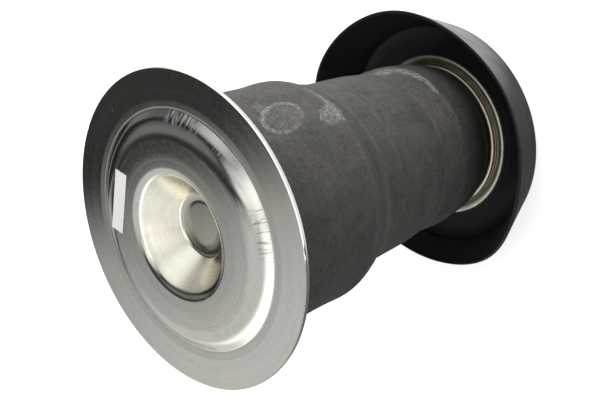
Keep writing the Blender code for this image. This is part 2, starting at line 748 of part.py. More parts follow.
def label_strip():
    """The blank paper strip stuck on the plateau."""
    shape = bmesh.new()
    bmesh.ops.create_cube(shape, size=1)
    bmesh.ops.scale(shape, vec=(LABEL_LENGTH, LABEL_WIDTH, LABEL_THICKNESS), verts=shape.verts)
    mesh = bpy.data.meshes.new("label_strip")
    shape.to_mesh(mesh)
    shape.free()
    x, y = around(LABEL_RADIUS, LABEL_ANGLE)
    height = LENGTH + GAP + LABEL_THICKNESS / 2
    place(mesh, "label_strip", "paper", HEAD_FRAME, (x, y, height), LABEL_TURN)


def build():
    """Build the whole part."""
    foot_cup()
    bead_plate()
    clamp_ring()
    foot_studs()
    air_port()
    bump_stop()
    _, _, low_circle, low_core = lower_bead()
    wire_ring("lower_bead_core", low_circle, low_core, LOWER_CORE_WIRE, FOOT_FRAME)
    bellows_sleeve()
    _, _, circle, core = upper_bead()
    wire_ring("upper_bead_core", circle, core, UPPER_CORE_WIRE, HEAD_FRAME)
    head_plate()
    retaining_ring()
    label_strip()


build()
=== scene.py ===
"""Looks of the air bellows actuator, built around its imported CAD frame.

The unit stands on z = 0 with its head plate on top. Every length is in metres, unless
a name says otherwise. The camera lies over on its side, as the photographed unit does.
"""

import logging
import math
from dataclasses import dataclass
from enum import Enum
from typing import Any, Dict, List, Optional, Sequence, Tuple, Union

import bpy
from mathutils import Matrix, Vector
from mathutils.kdtree import KDTree


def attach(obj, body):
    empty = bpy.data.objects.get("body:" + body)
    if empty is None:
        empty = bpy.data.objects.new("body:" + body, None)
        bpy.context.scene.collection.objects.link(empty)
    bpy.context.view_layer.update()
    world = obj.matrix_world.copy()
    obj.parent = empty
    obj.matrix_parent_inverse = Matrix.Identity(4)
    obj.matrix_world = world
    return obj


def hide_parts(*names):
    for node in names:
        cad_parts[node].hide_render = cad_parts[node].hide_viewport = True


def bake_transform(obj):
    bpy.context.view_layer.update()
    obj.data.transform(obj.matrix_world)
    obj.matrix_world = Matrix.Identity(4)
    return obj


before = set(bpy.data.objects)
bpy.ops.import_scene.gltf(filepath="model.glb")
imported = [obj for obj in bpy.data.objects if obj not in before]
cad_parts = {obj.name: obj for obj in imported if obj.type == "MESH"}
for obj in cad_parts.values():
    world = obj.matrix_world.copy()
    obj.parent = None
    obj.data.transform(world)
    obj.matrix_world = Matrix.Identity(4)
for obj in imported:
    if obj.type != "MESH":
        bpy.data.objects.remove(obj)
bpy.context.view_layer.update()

LOG = logging.getLogger("bellows")
MM = 0.001
FULL_TURN = 2 * math.pi

Spot = Tuple[float, float]
Colour = Tuple[float, float, float]


class Body(Enum):
    """The two bodies that pieces ride on."""

    FOOT = "foot"
    HEAD = "head"


class Slot(Enum):
    """The record's material slots."""

    PLATE = "zinc_plate"
    RING = "zinc_ring"
    BEAD = "passivated_steel"
    SLEEVE = "sleeve_rubber"
    MOULDING = "black_moulding"
    CORE = "core_steel"
    FASTENER = "fastener_zinc"
    BRASS = "port_brass"
    SEAL = "seal_rubber"
    PLUG = "plug_plastic"
    BUMP = "bump_rubber"
    PAPER = "paper"


# ---------------------------------------------------------------- shader maths


class Wire:
    """One output of a shader graph, which takes part in sums as a number does."""

    def __init__(self, graph: "Graph", socket: Any) -> None:
        """Keep the graph and the socket.

        Args:
            graph: The graph that new nodes go into.
            socket: The output socket to wrap.
        """
        self.graph = graph
        self.socket = socket

    def _math(self, operation: str, *values: Any, clamp: bool = False) -> "Wire":
        """Add a Math node.

        Args:
            operation: The node's operation.
            values: Its inputs, as wires or numbers.
            clamp: Whether the result stays between 0 and 1.

        Returns:
            The node's result.
        """
        settings = {"operation": operation, "use_clamp": clamp}
        return self.graph.add("ShaderNodeMath", settings, dict(enumerate(values)))

    def __add__(self, other: Any) -> "Wire":
        """Return self + other."""
        return self._math("ADD", self, other)

    __radd__ = __add__

    def __sub__(self, other: Any) -> "Wire":
        """Return self - other."""
        return self._math("SUBTRACT", self, other)

    def __rsub__(self, other: Any) -> "Wire":
        """Return other - self."""
        return self._math("SUBTRACT", other, self)

    def __mul__(self, other: Any) -> "Wire":
        """Return self * other."""
        return self._math("MULTIPLY", self, other)

    __rmul__ = __mul__

    def __truediv__(self, other: Any) -> "Wire":
        """Return self / other."""
        return self._math("DIVIDE", self, other)

    def __rtruediv__(self, other: Any) -> "Wire":
        """Return other / self."""
        return self._math("DIVIDE", other, self)

    def __pow__(self, other: Any) -> "Wire":
        """Return self to the power of other."""
        return self._math("POWER", self, other)

    def __neg__(self) -> "Wire":
        """Return -self."""
        return self._math("MULTIPLY", self, -1)

    def size(self) -> "Wire":
        """Return the value without its sign."""
        return self._math("ABSOLUTE", self)

    def sine(self) -> "Wire":
        """Return the sine."""
        return self._math("SINE", self)

    def cosine(self) -> "Wire":
        """Return the cosine."""
        return self._math("COSINE", self)

    def held(self) -> "Wire":
        """Return the value held between 0 and 1."""
        return self._math("ADD", self, 0, clamp=True)

    def step(self, low: float, high: float) -> "Wire":
        """Rise smoothly from 0 at one value to 1 at another.

        Args:
            low: Where the result is 0.
            high: Where the result is 1. It may be below low.

        Returns:
            The eased value.
        """
        settings = {"interpolation_type": "SMOOTHSTEP"}
        values = {"Value": self, "From Min": low, "From Max": high, "To Min": 0, "To Max": 1}
        if high < low:
            values.update({"From Min": high, "From Max": low, "To Min": 1, "To Max": 0})
        return self.graph.add("ShaderNodeMapRange", settings, values)

    def bump_at(self, centre: float, width: float) -> "Wire":
        """Return a soft hump of height 1.

        Args:
            centre: The value at the hump's top.
            width: Half of the hump's whole width.

        Returns:
            The hump.
        """
        return (self - centre).size().step(width, 0)


class Graph:
    """Builds a node tree from short calls."""

    def __init__(self, tree: Any) -> None:
        """Keep the tree.

        Args:
            tree: The node tree to fill.
        """
        self.tree = tree

    def add(self, kind: str, settings: Optional[Dict[str, Any]] = None,
            values: Optional[Dict[Any, Any]] = None, out: Union[int, str] = 0) -> Wire:
        """Add a node, set it and link it.

        Args:
            kind: The node's type.
            settings: What is set on the node, or "stops" for a ramp's stops.
            values: What goes into its inputs, as numbers, tuples or wires.
            out: Which output to return.

        Returns:
            The chosen output.
        """
        node = self.tree.nodes.new(kind)
        for name, value in (settings or {}).items():
            if name == "stops":
                self._set_stops(node.color_ramp, value)
            else:
                setattr(node, name, value)
        for name, value in (values or {}).items():
            self.feed(node.inputs[name], value)
        return Wire(self, node.outputs[out])

    def feed(self, socket: Any, value: Any) -> None:
        """Link a wire to an input, or set the input's own value.

        Args:
            socket: The input.
            value: A wire, a number or a tuple.
        """
        if isinstance(value, Wire):
            self.tree.links.new(value.socket, socket)
        elif isinstance(value, tuple) and socket.type == "RGBA":
            socket.default_value = (*value[:3], 1.0)
        else:
            socket.default_value = value

    @staticmethod
    def _set_stops(ramp: Any, stops: Sequence[Tuple[float, float]]) -> None:
        """Give a ramp its stops.

        Args:
            ramp: The colour ramp.
            stops: Each stop's place and grey level.
        """
        while len(ramp.elements) < len(stops):
            ramp.elements.new(0.5)
        for element, (place, level) in zip(ramp.elements, stops):
            element.position = place
            element.color = (level, level, level, 1.0)

    def place(self) -> Wire:
        """Return the place on the piece, in metres."""
        return self.add("ShaderNodeTexCoord", out="Object")

    def parts(self, vector: Wire) -> Tuple[Wire, Wire, Wire]:
        """Return a vector's three numbers."""
        node = self.tree.nodes.new("ShaderNodeSeparateXYZ")
        self.feed(node.inputs[0], vector)
        return tuple(Wire(self, output) for output in node.outputs)

    def vector(self, x: Any, y: Any, z: Any) -> Wire:
        """Return a vector made of three numbers."""
        return self.add("ShaderNodeCombineXYZ", None, {0: x, 1: y, 2: z})

    def polar(self, centre: Spot = (0.0, 0.0)) -> Tuple[Wire, Wire, Wire]:
        """Return the radius, the angle and the height of the place.

        Args:
            centre: Where the upright axis stands.

        Returns:
            The radius in metres, the angle in radians and the height in metres.
        """
        x, y, z = self.parts(self.place())
        if centre != (0.0, 0.0):
            x, y = x - centre[0], y - centre[1]
        radius = (x * x + y * y) ** 0.5
        return radius, y._math("ARCTAN2", y, x), z

    def noise(self, scale: float, where: Optional[Wire] = None, detail: float = 3.0,
              rough: float = 0.55, twist: float = 0.0) -> Wire:
        """Return a noise between 0 and 1.

        Args:
            scale: Its waves per metre.
            where: The place to read it at.
            detail: Its number of octaves.
            rough: How strong the fine octaves are.
            twist: How much it distorts itself.

        Returns:
            The noise.
        """
        values = {"Scale": scale, "Detail": detail, "Roughness": rough, "Distortion": twist}
        values["Vector"] = where or self.place()
        return self.add("ShaderNodeTexNoise", None, values)

    def blend(self, share: Any, first: Any, second: Any, kind: str = "MIX") -> Wire:
        """Mix two colours.

        Args:
            share: How much of the second shows.
            first: A colour.
            second: A colour.
            kind: The way to mix.

        Returns:
            The mixed colour.
        """
        settings = {"data_type": "RGBA", "blend_type": kind}
        return self.add("ShaderNodeMix", settings, {0: share, 6: first, 7: second}, out=2)

    def grey(self, level: Any) -> Wire:
        """Return a grey colour from a number."""
        return self.add("ShaderNodeCombineColor", None, {0: level, 1: level, 2: level})

    def bump(self, height: Wire, distance: float, strength: float = 1.0,
             over: Optional[Wire] = None) -> Wire:
        """Return a surface direction raised by a height.

        Args:
            height: The height, where 1 stands for the distance.
            distance: The depth that a height of 1 has, in metres.
            strength: The share of it that shows.
            over: A bump that lies beneath.

        Returns:
            The surface direction.
        """
        values = {"Height": height, "Distance": distance, "Strength": strength}
        if over is not None:
            values["Normal"] = over
        return self.add("ShaderNodeBump", None, values)


# -------------------------------------------------------------------- finishes


def painted(name: str, constants: Dict[str, Any]) -> Tuple[Any, Graph, Any]:
    """Start a material.

    Args:
        name: The material's name.
        constants: The shader's inputs that are the same all over.

    Returns:
        The material, its graph and its shader.
    """
    material = bpy.data.materials.new(name)
    material.use_nodes = True
    graph = Graph(material.node_tree)
    shader = material.node_tree.nodes["Principled BSDF"]
    for key, value in constants.items():
        graph.feed(shader.inputs[key], value)
    return material, graph, shader


def dress(graph: Graph, shader: Any, **looks: Wire) -> None:
    """Link what changes over a surface to its shader.

    Args:
        graph: The material's graph.
        shader: The Principled shader.
        looks: The wires for colour, roughness, metallic and normal.
    """
    names = {"colour": "Base Color", "roughness": "Roughness", "metallic": "Metallic",
             "normal": "Normal"}
    for key, wire in looks.items():
        graph.feed(shader.inputs[names[key]], wire)


@dataclass(frozen=True)
class PlatedSheet:
    """Pressed steel with clear zinc plating, drawn in rings."""

    name: str
    colour: Colour
    warm: Colour
    cool: Colour
    roughness: float
    cup: Colour = (0.70, 0.66, 0.55)
    ring_depth: float = 0.0016 * MM
    chatter: bool = False

    def make(self) -> Any:
        """Return the material."""
        material, graph, shader = painted(self.name, {"Metallic": 1.0})
        radius, angle, height = graph.polar()
        along = graph.vector(radius * 60, angle * 2.2, height * 60)
        cloud = graph.noise(9, detail=4, twist=0.8)
        haze = graph.noise(1, along, detail=5, rough=0.6)
        tint = graph.blend(cloud.step(0.44, 0.72), self.colour, self.warm)
        tint = graph.blend(haze.step(0.5, 0.8) * 0.7, tint, self.cool)
        fine = graph.noise(1, graph.vector(radius * 1500, angle * 5, height * 1500), detail=2)
        rings = graph.noise(1, graph.vector(radius * 420, angle * 0.8, height * 420), detail=3)
        level = 0.86 + rings * 0.2 + fine * 0.08
        grime = graph.noise(55, detail=6, rough=0.7).step(0.62, 0.78)
        level = level * (1 - grime * 0.14)
        smear = graph.noise(22, detail=4, twist=1.5)
        frost = graph.noise(230, detail=5, rough=0.78)
        drift = (smear - 0.5) * 8 * MM
        rubbed = ((radius + drift).step(60 * MM, 65 * MM) * (radius + drift).step(92 * MM, 84 * MM)
                  * height.step(377 * MM, 378.4 * MM))
        cup = radius.step(59 * MM, 50 * MM) * height.step(378.6 * MM, 376 * MM)
        level = level * (1 - rubbed * 0.05) * (0.85 + frost * 0.3)
        blur = cup * (0.03 + radius.step(29 * MM, 37 * MM) * 0.10)
        gloss = (self.roughness + smear * 0.05 + grime * 0.07 + rubbed * 0.04 + blur
                 + frost.step(0.5, 0.7) * (1 - cup) * 0.05)
        tint = graph.blend(cup * 0.65, tint, self.cup)
        relief = rings * 0.6 + fine * 0.2 + frost * (1 - cup) * 0.5
        normal = graph.bump(relief, self.ring_depth)
        scratches = self._scratches(graph)
        level = level + scratches * 0.12
        gloss = gloss + scratches * 0.25
        normal = graph.bump(scratches, 0.01 * MM, over=normal)
        if self.chatter:
            marks, dark, burnt = self._chatter(graph, radius, angle, height)
            # Painted highlight: a lighter line along the foot of the shoulder, where the metal is also
            # rougher.
            foot = radius.bump_at(114.8 * MM, 1.5 * MM) * height.step(369.6 * MM, 368.9 * MM)
            normal = graph.bump(marks, 0.12 * MM, over=normal)
            level = level * (1 - dark * 0.45) + foot * 0.15
            gloss = gloss + burnt * 0.34 + foot * 0.34
            tint = graph.blend(burnt * 0.8, tint, (0.76, 0.79, 0.84))
        # Painted shade: the outer rim is darker, most of all on its lower part.
        edge = radius.step(148.9 * MM, 149.4 * MM)
        low = height.step(368.0 * MM, 367.2 * MM)
        x, y, z = graph.parts(graph.place())
        # Painted light and shade in the centring cup: lighter towards -Y and darker on its upper side,
        # with the whole cup a little darker.
        lower = y.step(-12 * MM, -38 * MM) * cup
        upper = (y * 0.8 + x * 0.5).step(6 * MM, 24 * MM) * cup * radius.step(27 * MM, 33 * MM)
        # Painted shade: a dark crescent round the edge of the cup's floor, on its +X side.
        stain_and_shade = radius.bump_at(23.5 * MM, 8 * MM) * (x * 0.9 - y * 0.45).step(3 * MM, 16 * MM)
        level = level * (1 - edge * (0.28 + low * 0.14)) * (1 - cup * 0.1 + lower * 0.56 - upper * 0.5)
        # Painted shade: broken darker arcs along the drawn rings of the plateau, at radii of 86.8 and 90.6
        # mm.
        broken = graph.noise(1, graph.vector(angle * 5, radius * 160, 3.0), detail=3).step(0.40, 0.62)
        drawn = radius.bump_at(90.6 * MM, 0.8 * MM) + radius.bump_at(86.8 * MM, 0.5 * MM) * 0.7
        drawn = drawn * height.step(377.5 * MM, 378.5 * MM) * broken
        # Painted shade: a dark line in the fillet at the foot of the shoulder, on the -Y side only.
        low_foot_shade = radius.bump_at(113.9 * MM, 1.0 * MM) * y.step(-20 * MM, -70 * MM)
        level = level * (1 - stain_and_shade * 0.72) * (1 - drawn * 0.3) * (1 - low_foot_shade * 0.42)
        dust = graph.noise(520, detail=3, rough=0.8).step(0.66, 0.74)
        colour = graph.blend(1.0, tint, graph.grey(level), "MULTIPLY")
        dress(graph, shader, colour=colour, roughness=gloss, metallic=1 - dust * (1 - cup) * 0.24,
              normal=normal)
        return material

    @staticmethod
    def _scratches(graph: Graph) -> Wire:
        """Return thin stray scratches, 1 on a scratch."""
        x, y, z = graph.parts(graph.place())
        found: Optional[Wire] = None
        for turn, shift in ((0.35, 1.7), (1.25, 5.1), (2.2, 9.4)):
            across = x * math.cos(turn) + y * math.sin(turn)
            down = y * math.cos(turn) - x * math.sin(turn)
            lines = graph.noise(1, graph.vector(across * 900, down * 26 + shift, z * 30), detail=1)
            where = graph.noise(1, graph.vector(across * 40 + shift, down * 25, z * 20), detail=1)
            mark = lines.step(0.735, 0.76) * where.step(0.58, 0.66)
            found = mark if found is None else found + mark
        return found.held()

    @staticmethod
    def _chatter(graph: Graph, radius: Wire, angle: Wire,
                 height: Wire) -> Tuple[Wire, Wire, Wire]:
        """Return the press marks across the plateau's shoulder.

        Args:
            graph: The material's graph.
            radius: The distance from the axis.
            angle: The angle round the axis.
            height: The height.

        Returns:
            Their relief, where they are dark and where they are burnished.
        """
        band = radius.step(101 * MM, 104.5 * MM) * radius.step(114.3 * MM, 112.5 * MM)
        band = band * height.step(366 * MM, 368 * MM)
        turn = angle * (180 / math.pi)
        top, upper = (turn - 104).size().step(15, 9), turn.bump_at(78, 19)
        side = (turn - 34).size().step(16, 8)
        broad = graph.noise(1, graph.vector(angle * 38, radius * 55, 2.0), detail=3)
        fine = graph.noise(1, graph.vector(angle * 105, radius * 40, 7.0), detail=2)
        ticks = graph.noise(1, graph.vector(angle * 64, radius * 70, 5.0), detail=3)
        relief = (broad * top + fine * upper * 0.4 + ticks * side * 0.45) * band
        dark = broad.step(0.48, 0.43) * top + ticks.step(0.53, 0.60) * side * 1.1
        burnt = broad.step(0.51, 0.56) * top + fine.step(0.54, 0.64) * upper * 0.55
        return relief, (dark * band).held(), (burnt * band).held()


@dataclass(frozen=True)
class SmoothMetal:
    """Small turned or pressed metal pieces."""

    name: str
    colour: Colour
    dull: Colour
    roughness: float

    def make(self) -> Any:
        """Return the material."""
        material, graph, shader = painted(self.name, {"Metallic": 1.0})
        radius, angle, height = graph.polar()
        lines = graph.noise(1, graph.vector(radius * 900, angle * 3, height * 900), detail=2)
        stain_and_shade = graph.noise(70, detail=5, rough=0.65)
        tint = graph.blend(stain_and_shade.step(0.45, 0.75), self.colour, self.dull)
        colour = graph.blend(1.0, tint, graph.grey(0.84 + lines * 0.24), "MULTIPLY")
        gloss = self.roughness + stain_and_shade * 0.12 + lines * 0.06
        dress(graph, shader, colour=colour, roughness=gloss, normal=graph.bump(lines, 0.008 * MM))
        return material


@dataclass(frozen=True)
class Scuff:
    """One chalky mark on the sleeve, by angle and height. It leans by millimetres a degree."""

    angle: float
    height: float
    wide: float
    tall: float
    ring: bool = False
    strength: float = 1.0
    lean: float = 0.0


@dataclass(frozen=True)
class CordedRubber:
    """Dark rubber with the fabric's grain showing through, dusty and scuffed."""

    name: str = "sleeve rubber"
    colour: Colour = (0.094, 0.093, 0.086)
    brown: Colour = (0.109, 0.101, 0.090)
    # Near-black used for painted shade on the sleeve.
    shaded_black: Colour = (0.016, 0.016, 0.016)
    chalk: Colour = (0.46, 0.46, 0.43)
    scuffs: Tuple[Scuff, ...] = (
        Scuff(82.8, 290, 10.5, 27, ring=True, strength=0.8, lean=-0.85),
        Scuff(92, 300, 7, 8, strength=0.5),
        Scuff(76, 240, 8, 18, strength=1.0, lean=-0.8),
        Scuff(79.5, 230.5, 10.5, 7.5, strength=1.0, lean=-0.25),
        Scuff(73, 233, 5.5, 8, strength=1.0),
        Scuff(92, 230, 14, 4, strength=0.65),
        Scuff(112, 92, 9, 14, strength=0.8),
        Scuff(104, 78, 12, 8, strength=1.0),
        Scuff(96, 74, 12, 6.5, strength=1.0),
        Scuff(85, 72.5, 9, 5, strength=1.0),
        Scuff(78, 73, 7, 5, strength=1.0),
        Scuff(57, 72, 22, 1.6, strength=0.5),
        Scuff(250, 215, 20, 14, strength=0.6),
        Scuff(-60, 280, 15, 20, ring=True, strength=0.5),
    )

    def make(self) -> Any:
        """Return the material."""
        constants = {"Metallic": 0.0, "Specular IOR Level": 0.25}
        material, graph, shader = painted(self.name, constants)
        radius, angle, height = graph.polar()
        around = angle * radius
        cloud = graph.noise(16, detail=5, rough=0.6)
        patches = graph.noise(46, detail=5, rough=0.7, twist=0.8)
        tint = graph.blend(cloud.step(0.46, 0.66) * 0.9, self.colour, self.brown)
        rings = graph.noise(1, graph.vector(height * 150, angle * 1.2, radius * 20), detail=3)
        grain = graph.noise(290, detail=5, rough=0.78)
        level = 0.22 + patches * 1.20 + rings * 0.34 + (grain - 0.5) * 1.8
        colour = graph.blend(1.0, tint, graph.grey(level), "MULTIPLY")
        # Painted shade where the sleeve tucks in at both ends, on rubber that is cleaner and glossier
        # there.
        tuck_shade = height.step(62 * MM, 34 * MM) + height.step(346 * MM, 354 * MM)
        colour = graph.blend(tuck_shade * 0.85, colour, self.shaded_black)
        creases = self._creases(graph, height, angle)
        # Painted shade along the fold of the shoulder, centred at a height of 219 mm.
        fold_shade = height.bump_at(219 * MM, 14 * MM)
        colour = graph.blend(fold_shade * 0.30, colour, self.shaded_black)
        colour = graph.blend(creases * 0.42, colour, (0.20, 0.195, 0.18))
        chalk = self._chalk(graph, angle, height, grain)
        colour = graph.blend(chalk, colour, self.chalk)
        cords = self._cords(around, height)
        relief = grain * 0.8 + cords * 0.2 + patches * 0.8
        normal = graph.bump(relief, 0.45 * MM)
        gloss = 0.74 + patches * 0.12 - tuck_shade * 0.22 + chalk * 0.12
        dress(graph, shader, colour=colour, roughness=gloss, normal=normal)
        return material

    @staticmethod
    def _cords(around: Wire, height: Wire) -> Wire:
        """Return the crossed cords under the rubber's skin.

        Args:
            around: The way round the sleeve, in metres.
            height: The height.

        Returns:
            Their relief.
        """
        first = ((around * 0.62 + height * 0.78) * 2600).sine()
        second = ((around * 0.62 - height * 0.78) * 2600).sine()
        return (first + second) * 0.25 + 0.5

    @staticmethod
    def _creases(graph: Graph, height: Wire, angle: Wire) -> Wire:
        """Return the pale rubbed lines where the sleeve folds."""
        drift = (graph.noise(1, graph.vector(angle * 1.6, 4.0, 0.0), detail=3) - 0.5) * 12 * MM
        found: Optional[Wire] = None
        for centre, width in ((234, 3.0), (204, 4.5), (176, 3.0), (104, 5.0), (76, 4.0)):
            hump = (height + drift).bump_at(centre * MM, width * MM)
            found = hump if found is None else found + hump
        broken = graph.noise(1, graph.vector(angle * 7, height * 60, 1.0), detail=4)
        return (found * broken.step(0.4, 0.62)).held()

    def _chalk(self, graph: Graph, angle: Wire, height: Wire, grain: Wire) -> Wire:
        """Return where the chalky scuffs lie.

        Args:
            graph: The material's graph.
            angle: The angle round the axis.
            height: The height.
            grain: The rubber's fine grain.

        Returns:
            The share of chalk that shows.
        """
        ragged = (graph.noise(90, detail=5, rough=0.7) - 0.5) * 1.5
        total: Optional[Wire] = None
        for scuff in self.scuffs:
            turn = (angle - math.radians(scuff.angle)) / math.radians(scuff.wide)
            rise = ((height - scuff.height * MM) / (scuff.tall * MM)
                    - turn * (scuff.lean * scuff.wide / scuff.tall))
            away = (turn * turn + rise * rise) ** 0.5
            if scuff.ring:
                rim = (away + ragged * 0.12 - 0.86).size().step(0.17, 0.02)
                mark = (rim * graph.noise(30, detail=2).step(0.30, 0.52)
                        + (away + ragged * 0.5).step(1.0, 0.5) * 0.34)
            else:
                mark = (away + ragged * 0.75).step(1.05, 0.40)
            mark = mark * scuff.strength
            total = mark if total is None else total + mark
        speckle = (grain * 0.75 + graph.noise(420, detail=3, rough=0.7) * 0.25).step(0.44, 0.66)
        return (total.held() * (0.16 + speckle * 0.78)).held()


@dataclass(frozen=True)
class SatinMoulding:
    """Black moulded rubber or plastic with a satin skin."""

    name: str
    colour: Colour
    dust: Colour
    roughness: float
    grain: float = 650.0

    def make(self) -> Any:
        """Return the material."""
        material, graph, shader = painted(self.name, {"Metallic": 0.0, "Specular IOR Level": 0.22})
        radius, angle, height = graph.polar()
        flow = graph.noise(1, graph.vector(radius * 90, angle * 1.5, height * 90), detail=4)
        dusty = graph.noise(24, detail=6, rough=0.68, twist=0.4).step(0.42, 0.8)
        pits = graph.noise(self.grain, detail=2)
        rub = graph.noise(1, graph.vector(radius * 260, angle * 9, height * 60), detail=3)
        # A paler grey patch on the foot cup's wall near the rim, round the +X side.
        greyed = (angle.size().step(1.1, 0.3) * radius.step(118 * MM, 128 * MM)
                * radius.step(143 * MM, 140 * MM))
        share = (dusty * 0.55 + rub.step(0.6, 0.8) * 0.25) * (0.3 + radius.step(108 * MM, 120 * MM) * 0.7)
        colour = graph.blend(share.held(), self.colour, self.dust)
        colour = graph.blend(greyed * 0.5, colour, (0.036, 0.037, 0.038))
        gloss = self.roughness + dusty * 0.14 + flow * 0.10 + rub.step(0.55, 0.8) * 0.08
        normal = graph.bump(pits * 0.35 + flow * 0.65, 0.06 * MM)
        dress(graph, shader, colour=colour, roughness=gloss, normal=normal)
        return material


@dataclass(frozen=True)
class PlainPaper:
    """A blank white paper strip."""

    name: str = "paper"
    colour: Colour = (0.86, 0.84, 0.80)
    greyed: Colour = (0.62, 0.59, 0.54)

    def make(self) -> Any:
        """Return the material."""
        material, graph, shader = painted(self.name, {"Metallic": 0.0, "Specular IOR Level": 0.3})
        fibre = graph.noise(1400, detail=4, rough=0.7)
        stain_and_shade = graph.noise(75, detail=5, rough=0.6).step(0.5, 0.85)
        colour = graph.blend(stain_and_shade * 0.5, self.colour, self.greyed)
        colour = graph.blend(1.0, colour, graph.grey(0.93 + fibre * 0.12), "MULTIPLY")
        dress(graph, shader, colour=colour, roughness=0.62 + fibre * 0.2,
              normal=graph.bump(fibre, 0.03 * MM))
        return material


class Finishes:
    """Every material of the unit, each made once."""

    def __init__(self) -> None:
        """Make the materials."""
        self.plate = PlatedSheet("zinc plate", (0.66, 0.67, 0.62), (0.69, 0.66, 0.57),
                                 (0.58, 0.63, 0.61), 0.085, chatter=True).make()
        self.ring = PlatedSheet("zinc ring", (0.46, 0.46, 0.43), (0.44, 0.40, 0.33),
                                (0.40, 0.42, 0.42), 0.24).make()
        self.bead = SmoothMetal("passivated steel", (0.47, 0.42, 0.32), (0.32, 0.28, 0.21),
                                0.20).make()
        self.clamp = SmoothMetal("pale zinc", (0.46, 0.47, 0.41), (0.34, 0.34, 0.29),
                                 0.30).make()
        self.sleeve = CordedRubber().make()
        self.moulding = SatinMoulding("black moulding", (0.0045, 0.0047, 0.0050),
                                      (0.013, 0.0125, 0.012), 0.34).make()
        self.core = SmoothMetal("bead wire", (0.45, 0.44, 0.42), (0.32, 0.30, 0.28), 0.4).make()
        self.fastener = SmoothMetal("zinc fastener", (0.62, 0.62, 0.60), (0.50, 0.49, 0.44),
                                    0.26).make()
        self.brass = SmoothMetal("brass", (0.70, 0.52, 0.26), (0.50, 0.36, 0.18), 0.22).make()
        self.seal = SatinMoulding("seal rubber", (0.012, 0.012, 0.012), (0.03, 0.03, 0.03),
                                  0.5).make()
        self.plug = SatinMoulding("red plug", (0.50, 0.035, 0.028), (0.42, 0.05, 0.04),
                                  0.38).make()
        self.bump = SatinMoulding("bump rubber", (0.018, 0.018, 0.018), (0.04, 0.04, 0.038),
                                  0.55).make()
        self.paper = PlainPaper().make()


# ------------------------------------------------------------------- modelling


def filleted(corners: Sequence[Tuple[float, float, float]], steps: int = 8) -> List[Spot]:
    """Round the corners of an outline.

    Args:
        corners: Each corner's radius and height in millimetres, and its fillet.
        steps: The number of steps in each fillet.

    Returns:
        The outline's points in metres.
    """
    spots = [Vector(corner[:2]) for corner in corners]
    outline: List[Spot] = []
    for index, spot in enumerate(spots):
        fillet = corners[index][2]
        if fillet <= 0 or index in (0, len(spots) - 1):
            outline.append((spot.x * MM, spot.y * MM))
            continue
        back = (spots[index - 1] - spot).normalized()
        ahead = (spots[index + 1] - spot).normalized()
        half = back.angle(ahead) / 2
        setback = fillet / math.tan(half)
        centre = spot + (back + ahead).normalized() * fillet / math.sin(half)
        start = spot + back * setback - centre
        end = spot + ahead * setback - centre
        sweep = start.angle(end)
        for step in range(steps + 1):
            share = step / steps
            spoke = start * math.sin((1 - share) * sweep) + end * math.sin(share * sweep)
            point = centre + spoke / math.sin(sweep)
            outline.append((point.x * MM, point.y * MM))
    return outline


def eased(knots: Sequence[Spot], count: int) -> List[Spot]:
    """Run a smooth curve through knots given as height and radius in millimetres.

    Args:
        knots: Heights, going down, each with its radius.
        count: The number of points between two knots.

    Returns:
        The outline's points, as radius and height in metres.
    """
    slopes = []
    for index in range(len(knots)):
        low = knots[max(index - 1, 0)]
        high = knots[min(index + 1, len(knots) - 1)]
        slopes.append((high[1] - low[1]) / (high[0] - low[0]))
    outline = [(knots[0][1] * MM, knots[0][0] * MM)]
    for index in range(len(knots) - 1):
        (start, first), (end, second) = knots[index], knots[index + 1]
        span = end - start
        for step in range(1, count + 1):
            t = step / count
            rise = (2 * t ** 3 - 3 * t ** 2 + 1) * first + (t ** 3 - 2 * t ** 2 + t) * span * slopes[index]
            rise += (3 * t ** 2 - 2 * t ** 3) * second + (t ** 3 - t ** 2) * span * slopes[index + 1]
            outline.append((rise * MM, (start + span * t) * MM))
    return outline


